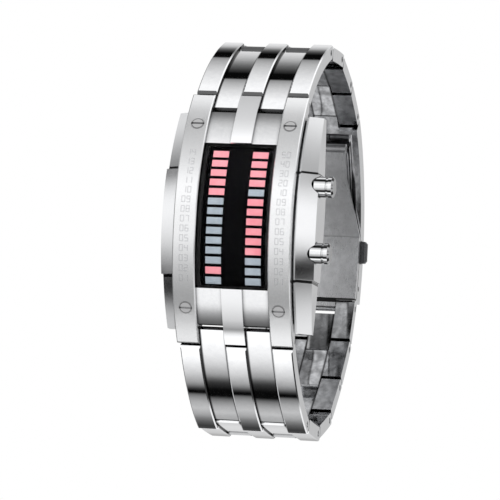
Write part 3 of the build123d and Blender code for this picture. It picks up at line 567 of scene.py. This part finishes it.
def reflectionBandGroup():
    # Painted reflection bands round a button: dark above and below its middle, and a dark crown at its end.
    group, given, result = newGroup("buttonReflectionBands", {"Crown": 0.45}, {"Tone": "Float"})
    facing = partsOf(group, "Normal")
    reflectionBands = rampNode(group, mathNode(group, "MULTIPLY_ADD", (facing, "Z"), 0.5, 0.5), buttonReflectionBands)
    limits = {"From Min": 0.25, "From Max": 0.75, "To Min": 1.0, "To Max": (given, "Crown")}
    end = rangeNode(group, sizeOf(group, (facing, "X")), limits)
    join(group, mathNode(group, "MULTIPLY", reflectionBands, end), result.inputs["Tone"])
    return group


# Painted shade: a dark ring near the edge of each screw head.
headShadeRing = ((0.50, 1.0), (0.53, 0.25), (0.57, 0.25), (0.59, 1.0))        # tone by share of the radius


def headShadeGroup():
    # A ring of painted shade near the edge of each screw head: the root of the squared ways to its centre.
    group, given, result = newGroup(
        "headShadeRing", {"Across": 0.009025, "Up": 0.0177, "Tilt": 0.871, "Radius": 0.002}, {"Tone": "Float"}
    )
    place = partsOf(group, "Object")
    across = mathNode(group, "SUBTRACT", sizeOf(group, (place, "X")), (given, "Across"))
    up = mathNode(group, "SUBTRACT", sizeOf(group, (place, "Z")), (given, "Up"))
    up = mathNode(group, "DIVIDE", up, (given, "Tilt"))
    squares = [mathNode(group, "POWER", sizeOf(group, way), 2.0) for way in (across, up)]
    away = mathNode(group, "SQRT", mathNode(group, "ADD", *squares))
    share = mathNode(group, "DIVIDE", away, (given, "Radius"))
    join(group, rampNode(group, share, headShadeRing), result.inputs["Tone"])
    return group


def frameGroup():
    # The part of the case under the display glass is coated black, and near its ends, within the display's
    # width, it gets painted shade.
    group, given, result = newGroup(
        "displayFrameAndShade",
        {
            "Half width": 0.0071, "Half length": 0.0139, "Front": -0.004, "Dark": 0.01,
            "End start": 0.0168, "End stop": 0.0208, "End shade": 0.27,
        },
        {"Tone": "Float"},
    )
    place = partsOf(group, "Object")
    along = sizeOf(group, (place, "Z"))
    wide = mathNode(group, "LESS_THAN", sizeOf(group, (place, "X")), (given, "Half width"))
    tall = mathNode(group, "LESS_THAN", along, (given, "Half length"))
    front = mathNode(group, "LESS_THAN", (place, "Y"), (given, "Front"))
    inside = mathNode(group, "MULTIPLY", mathNode(group, "MULTIPLY", wide, tall), front)
    tone = shadeBy(group, inside, (given, "Dark"))
    limits = {
        "From Min": (given, "End start"), "From Max": (given, "End stop"),
        "To Min": 1.0, "To Max": (given, "End shade"),
    }
    endShade = rangeNode(group, along, limits, interpolation_type="SMOOTHSTEP")
    endShade = mathNode(group, "MAXIMUM", endShade, mathNode(group, "SUBTRACT", 1.0, wide))
    join(group, mathNode(group, "MULTIPLY", tone, endShade), result.inputs["Tone"])
    return group


grain = grainGroup()
handling = handlingGroup()
creviceShade = creviceShadeGroup()
strips = stripGroup()
# Tone groups: painted shade, painted reflection bands, and the black coat under the display glass.
toneAndPaintedLightGroups = {
    "inside": loopShadeGroup(), "wallShade": wallShadeGroup(), "seamShade": seamShadeGroup(),
    "reflectionBands": reflectionBandGroup(), "ring": headShadeGroup(), "frame": frameGroup(),
}


def useGroup(tree, group, values=None):
    # Place a shader group in a tree with its own values.
    node = addNode(tree, "ShaderNodeGroup")
    node.node_tree = group
    for key, value in (values or {}).items():
        node.inputs[key].default_value = value
    return node


def grainTone(tree, look, texture):
    # A colour that runs between the look's two tones with the grain.
    dark, light = look["tone"]
    tone = addNode(tree, "ShaderNodeMix", {6: (*dark, 1), 7: (*light, 1)}, data_type="RGBA")
    join(tree, texture, tone.inputs[0], "Tone")
    return tone, 2


def steelMaterial(name, look):
    # Bare steel: a tone that varies a little, roughness from grain and smudges, and a fine bump.
    material, tree, output = newMaterial(name)
    steel = addNode(tree, "ShaderNodeBsdfPrincipled", {"Metallic": 1.0})
    brushed = useGroup(tree, grain, {"Stretch": look["stretch"], "Scale": look["grainScale"]})
    marks = useGroup(tree, handling)
    # The colour is multiplied by painted shade in gaps and along steps, and by the look's tone groups: painted
    # shade, painted reflection bands and the black coat under the glass.
    shade = useGroup(tree, creviceShade, look.get("creviceShade"))
    for key, values in look.get("tonesAndPaintedLight", {}).items():
        shade = mathNode(tree, "MULTIPLY", shade, useGroup(tree, toneAndPaintedLightGroups[key], values))
    shaded = addNode(tree, "ShaderNodeMix", {0: 1.0}, data_type="RGBA", blend_type="MULTIPLY")
    feed(tree, shaded.inputs[6], grainTone(tree, look, brushed))
    feed(tree, shaded.inputs[7], shade)
    feed(tree, steel.inputs["Base Color"], (shaded, 2))
    smooth, rough = look["roughness"]
    both = mathNode(tree, "MULTIPLY_ADD", (marks, "Smudge"), look["smudge"], (brushed, "Tone"))
    spread = rangeNode(tree, both, {"To Min": smooth, "To Max": rough})
    extra = mathNode(tree, "MULTIPLY_ADD", (marks, "Hairline"), look["hairline"], spread)
    join(tree, extra, steel.inputs["Roughness"])
    bump = addNode(tree, "ShaderNodeBump", {"Strength": look["bump"], "Distance": 0.00001})
    join(tree, brushed, bump.inputs["Height"], "Height")
    if "bend" in look:
        join(tree, useGroup(tree, strips, look["bend"]), bump.inputs["Normal"])
    join(tree, bump, steel.inputs["Normal"])
    join(tree, steel, output.inputs["Surface"])
    return material


steelLooks = {
    "link_steel": {
        "tone": ((0.78, 0.785, 0.80), (0.84, 0.845, 0.855)), "roughness": (0.02, 0.045),
        "smudge": 0.5, "hairline": 0.02, "stretch": (1, 1, 1), "grainScale": 900.0, "bump": 0.02,
        # Painted shade inside the loop, and on the step walls, lip fronts and corners beside the raised strips.
        "bend": {}, "tonesAndPaintedLight": {"inside": {}, "wallShade": {}},
    },
    "clasp_steel": {
        "tone": ((0.76, 0.765, 0.78), (0.82, 0.825, 0.835)), "roughness": (0.05, 0.10),
        "smudge": 0.6, "hairline": 0.03, "stretch": (1, 1, 1), "grainScale": 900.0, "bump": 0.04,
        # Painted shade inside the loop.
        "tonesAndPaintedLight": {"inside": {}},
    },
    "bar_steel": {
        "tone": ((0.80, 0.805, 0.82), (0.86, 0.865, 0.875)), "roughness": (0.10, 0.16),
        "smudge": 0.5, "hairline": 0.03, "stretch": (10, 10, 0.4), "grainScale": 3000.0, "bump": 0.08,
        "bend": {
            "Inner": -1.0, "Outer": 1.0, "Bend": -0.27, "End bend": -0.27, "Lower height": 0.0195,
            "Lower reach": 0.0035, "Lower bend": 0.35, "Lower end bend": 0.0, "Tail bend": 0.0,
        },
    },
    "case_steel": {
        "tone": ((0.78, 0.785, 0.80), (0.84, 0.845, 0.855)), "roughness": (0.09, 0.15),
        "smudge": 0.5, "hairline": 0.03, "stretch": (1, 1, 1), "grainScale": 1500.0, "bump": 0.05,
        # Painted shade in gaps reaches further on the case, and its plates get painted shade towards the
        # knuckles.
        "creviceShade": {"Reach": 0.0015, "Floor": 0.0}, "tonesAndPaintedLight": {"frame": {}},
        "bend": {
            "Inner": -1.0, "Outer": 1.0, "Bend": -0.22, "End bend": -0.22, "Lower height": 0.0155,
            "Lower reach": 0.0055, "Lower bend": 0.38, "Lower end bend": 0.20, "Tail bend": 0.0,
        },
    },
    "rail_steel": {
        "tone": ((0.78, 0.785, 0.80), (0.88, 0.885, 0.89)), "roughness": (0.20, 0.28),
        "smudge": 0.3, "hairline": 0.02, "stretch": (10, 10, 0.8), "grainScale": 3000.0, "bump": 0.35,
    },
    "wing_steel": {
        "tone": ((0.77, 0.775, 0.79), (0.84, 0.845, 0.855)), "roughness": (0.10, 0.17),
        "smudge": 0.5, "hairline": 0.03, "stretch": (10, 10, 0.5), "grainScale": 3000.0, "bump": 0.08,
        # Painted shade lines at the steps of the wing's proud middle.
        "tonesAndPaintedLight": {"seamShade": {}},
    },
    "screw_steel": {
        "tone": ((0.80, 0.80, 0.81), (0.87, 0.87, 0.88)), "roughness": (0.10, 0.18),
        "smudge": 0.4, "hairline": 0.02, "stretch": (1, 1, 1), "grainScale": 2500.0, "bump": 0.06,
        # Painted shade in the slot and in a ring near the head's edge.
        "creviceShade": {"Floor": 0.25}, "tonesAndPaintedLight": {"ring": {}},
    },
    "button_steel": {
        "tone": ((0.78, 0.785, 0.80), (0.84, 0.845, 0.855)), "roughness": (0.05, 0.09),
        "smudge": 0.5, "hairline": 0.02, "stretch": (1, 1, 1), "grainScale": 1500.0, "bump": 0.03,
        # Painted reflection bands round the buttons.
        "tonesAndPaintedLight": {"reflectionBands": {}},
    },
    "pin_steel": {
        "tone": ((0.66, 0.665, 0.68), (0.74, 0.745, 0.755)), "roughness": (0.18, 0.28),
        "smudge": 0.4, "hairline": 0.02, "stretch": (0.5, 8, 8), "grainScale": 2500.0, "bump": 0.10,
    },
    "blade_steel": {
        "tone": ((0.66, 0.665, 0.68), (0.76, 0.765, 0.775)), "roughness": (0.24, 0.34),
        "smudge": 0.4, "hairline": 0.03, "stretch": (8, 0.5, 0.5), "grainScale": 2500.0, "bump": 0.20,
        "tonesAndPaintedLight": {
            # A lighter painted shade inside the loop.
            "inside": {"Dark": 0.84, "Light": 0.98},
            # A band of painted shadow across the blade near its lower end.
            "seamShade": {"Upper": -0.0091, "Lower": -0.0087},
        },
    },
    "catch_steel": {
        "tone": ((0.07, 0.072, 0.075), (0.12, 0.122, 0.126)), "roughness": (0.22, 0.32),
        "smudge": 0.4, "hairline": 0.03, "stretch": (6, 1, 1), "grainScale": 2500.0, "bump": 0.15,
    },
    "can_nickel": {
        "tone": ((0.66, 0.65, 0.62), (0.76, 0.75, 0.72)), "roughness": (0.20, 0.30),
        "smudge": 0.4, "hairline": 0.04, "stretch": (1, 1, 8), "grainScale": 2000.0, "bump": 0.12,
    },
    "spring_brass": {
        "tone": ((0.72, 0.52, 0.24), (0.82, 0.62, 0.32)), "roughness": (0.18, 0.28),
        "smudge": 0.4, "hairline": 0.04, "stretch": (1, 1, 8), "grainScale": 2000.0, "bump": 0.12,
    },
}


def plasticMaterial(name, look):
    # Moulded or coated surface: two close tones, fine texture and its own gloss.
    material, tree, output = newMaterial(name)
    body = addNode(tree, "ShaderNodeBsdfPrincipled", {"IOR": look.get("ior", 1.45)})
    texture = useGroup(tree, grain, {"Scale": look["grainScale"]})
    tone = grainTone(tree, look, texture)
    feed(tree, body.inputs["Base Color"], tone)
    smooth, rough = look["roughness"]
    spread = rangeNode(tree, (texture, "Tone"), {"To Min": smooth, "To Max": rough})
    join(tree, spread, body.inputs["Roughness"])
    bump = addNode(tree, "ShaderNodeBump", {"Strength": look["bump"], "Distance": 0.00002})
    join(tree, texture, bump.inputs["Height"], "Height")
    join(tree, bump, body.inputs["Normal"])
    if "glow" in look:
        feed(tree, body.inputs["Emission Color"], tone)
        body.inputs["Emission Strength"].default_value = look["glow"]
    join(tree, body, output.inputs["Surface"])
    return material


plasticLooks = {
    "mask_black": {
        "tone": ((0.0015, 0.0015, 0.002), (0.003, 0.003, 0.004)), "roughness": (0.5, 0.6),
        "grainScale": 2500.0, "bump": 0.1, "ior": 1.05,
    },
    "lit_bar": {
        "tone": ((0.86, 0.27, 0.31), (0.92, 0.35, 0.39)), "roughness": (0.3, 0.4),
        "grainScale": 500.0, "bump": 0.02, "glow": 0.32,
    },
    "unlit_bar": {
        "tone": ((0.35, 0.41, 0.45), (0.43, 0.49, 0.53)), "roughness": (0.3, 0.4),
        # The unlit bars glow a little as well: painted light, since they are not lit.
        "grainScale": 500.0, "bump": 0.02, "glow": 0.25,
    },
    "seal_rubber": {
        "tone": ((0.003, 0.003, 0.0032), (0.006, 0.006, 0.006)), "roughness": (0.6, 0.8),
        "grainScale": 1500.0, "bump": 0.2,
    },
    "led_yellow": {
        "tone": ((0.80, 0.74, 0.45), (0.88, 0.82, 0.55)), "roughness": (0.2, 0.3),
        "grainScale": 1500.0, "bump": 0.05,
    },
    "board_green": {
        "tone": ((0.015, 0.14, 0.06), (0.03, 0.20, 0.09)), "roughness": (0.25, 0.35),
        "grainScale": 900.0, "bump": 0.1,
    },
    "chip_black": {
        "tone": ((0.012, 0.012, 0.013), (0.025, 0.025, 0.027)), "roughness": (0.45, 0.6),
        "grainScale": 3000.0, "bump": 0.15,
    },
    "holder_plastic": {
        "tone": ((0.68, 0.66, 0.60), (0.76, 0.74, 0.68)), "roughness": (0.4, 0.5),
        "grainScale": 1200.0, "bump": 0.08,
    },
}


def glassMaterial(name):
    # Coated watch glass: clear, with almost no reflection of its own and a trace of dust.
    material, tree, output = newMaterial(name)
    glass = addNode(
        tree,
        "ShaderNodeBsdfPrincipled",
        {"Base Color": (0.93, 0.93, 0.95, 1), "Transmission Weight": 1.0, "IOR": 1.07},
    )
    marks = useGroup(tree, handling)
    spread = rangeNode(tree, (marks, "Smudge"), {"To Min": 0.0, "To Max": 0.02})
    join(tree, spread, glass.inputs["Roughness"])
    join(tree, glass, output.inputs["Surface"])
    return material


materials = {slot: steelMaterial(slot, look) for slot, look in steelLooks.items()}
materials.update({slot: plasticMaterial(slot, look) for slot, look in plasticLooks.items()})
materials["window_glass"] = glassMaterial("window_glass")
slotOf = {row["node"]: row["material_slot"] for row in frame["record"]["subparts"]}
for name, node in nodes.items():
    node.data.materials.clear()
    node.data.materials.append(materials[slotOf[name]])
print("materials on", len(nodes), "nodes")

# The engraved numbers on the rails, in millimetres.
numbers = {
    "faceRadius": 35.992,
    "faceFront": -11.2,
    "rows": 14,
    "pitch": 1.854,
    "drop": 0.25,
    "left": (-9.225, list(range(14, 0, -1))),
    "right": (9.225, [50, 40, 30, 20, 10] + list(range(9, 0, -1))),
    "digitHeight": 1.12,
    "digitWidth": 0.62,
    "digitStep": 0.98,
    "stroke": 0.19,
    "lift": 0.006,
    "sink": 0.03,
    "steps": 5,
}
digitStrokes = {
    0: "abcdef", 1: "bc", 2: "abged", 3: "abgcd", 4: "fgbc", 5: "afgcd",
    6: "afgecd", 7: "abc", 8: "abcdefg", 9: "abcdfg",
}


def strokeBoxes(digit, centre, look):
    # The bars of one boxy digit as (low x, low z, high x, high z) about its centre: each is the
    # line between two corners of the digit's box, widened by half the stroke.
    halfWide, halfTall, half = look["digitWidth"] / 2, look["digitHeight"] / 2, look["stroke"] / 2
    bars = {
        "a": (-halfWide, halfTall - half, halfWide, halfTall + half),
        "g": (-halfWide, -half, halfWide, half),
        "d": (-halfWide, -halfTall - half, halfWide, -halfTall + half),
        "f": (-halfWide - half, 0, -halfWide + half, halfTall),
        "e": (-halfWide - half, -halfTall, -halfWide + half, 0),
        "b": (halfWide - half, 0, halfWide + half, halfTall),
        "c": (halfWide - half, -halfTall, halfWide + half, 0),
    }
    moved = np.array([bars[letter] for letter in digitStrokes[digit]])
    return moved + np.array([centre[0], centre[1], centre[0], centre[1]])


def numberPiece(name, column, look):
    # Each bar is a thin curved plate that follows the rail's arc: its depth is the arc's centre
    # less the square root of the radius squared minus the height squared.
    middle, values = look[column]
    boxes = []
    for row, value in enumerate(values):
        height = ((look["rows"] - 1) / 2 - row) * look["pitch"] - look["drop"]
        for place, digit in enumerate((value // 10, value % 10)):
            centre = (middle + (place - 0.5) * look["digitStep"], height)
            boxes.append(strokeBoxes(digit, centre, look))
    boxes = np.concatenate(boxes)
    steps = look["steps"]
    share = np.linspace(0, 1, steps)
    low, high = boxes[:, :2], boxes[:, 2:]
    heights = low[:, 1, None] + (high[:, 1] - low[:, 1])[:, None] * share
    arcCentre = look["faceRadius"] + look["faceFront"]
    layers = []
    for radius in (look["faceRadius"] + look["lift"], look["faceRadius"] - look["sink"]):
        depth = arcCentre - np.sqrt(radius**2 - heights**2)
        for side in (low[:, 0], high[:, 0]):
            wide = np.repeat(side[:, None], steps, axis=1)
            layers.append(np.stack([wide, depth, heights], axis=-1))
    points = np.stack(layers, axis=2)          # boxes, steps, four corners, xyz
    ring = [0, 1, 3, 2]
    faces = []
    for step in range(steps - 1):
        for first, second in zip(ring, ring[1:] + ring[:1]):
            faces.append((step * 4 + first, step * 4 + second, step * 4 + 4 + second, step * 4 + 4 + first))
    faces.append(tuple(reversed(ring)))
    faces.append(tuple((steps - 1) * 4 + corner for corner in ring))
    faces = np.array(faces)
    offsets = np.arange(len(boxes)) * steps * 4
    allFaces = (faces[None] + offsets[:, None, None]).reshape(-1, 4)
    piece = meshPiece(name, points.reshape(-1, 3) * millimetre, allFaces, smooth=False)
    piece.data.materials.append(materials["etched"])
    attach(piece, "case")
    return piece


steelLooks["etched"] = {
    "tone": ((0.66, 0.665, 0.68), (0.74, 0.745, 0.76)), "roughness": (0.32, 0.42),
    "smudge": 0.3, "hairline": 0.0, "stretch": (1, 1, 1), "grainScale": 4000.0, "bump": 0.3,
}
materials["etched"] = steelMaterial("etchedSteel", steelLooks["etched"])
numberPiece("left_numbers", "left", numbers)
numberPiece("right_numbers", "right", numbers)
print("rail numbers in place")
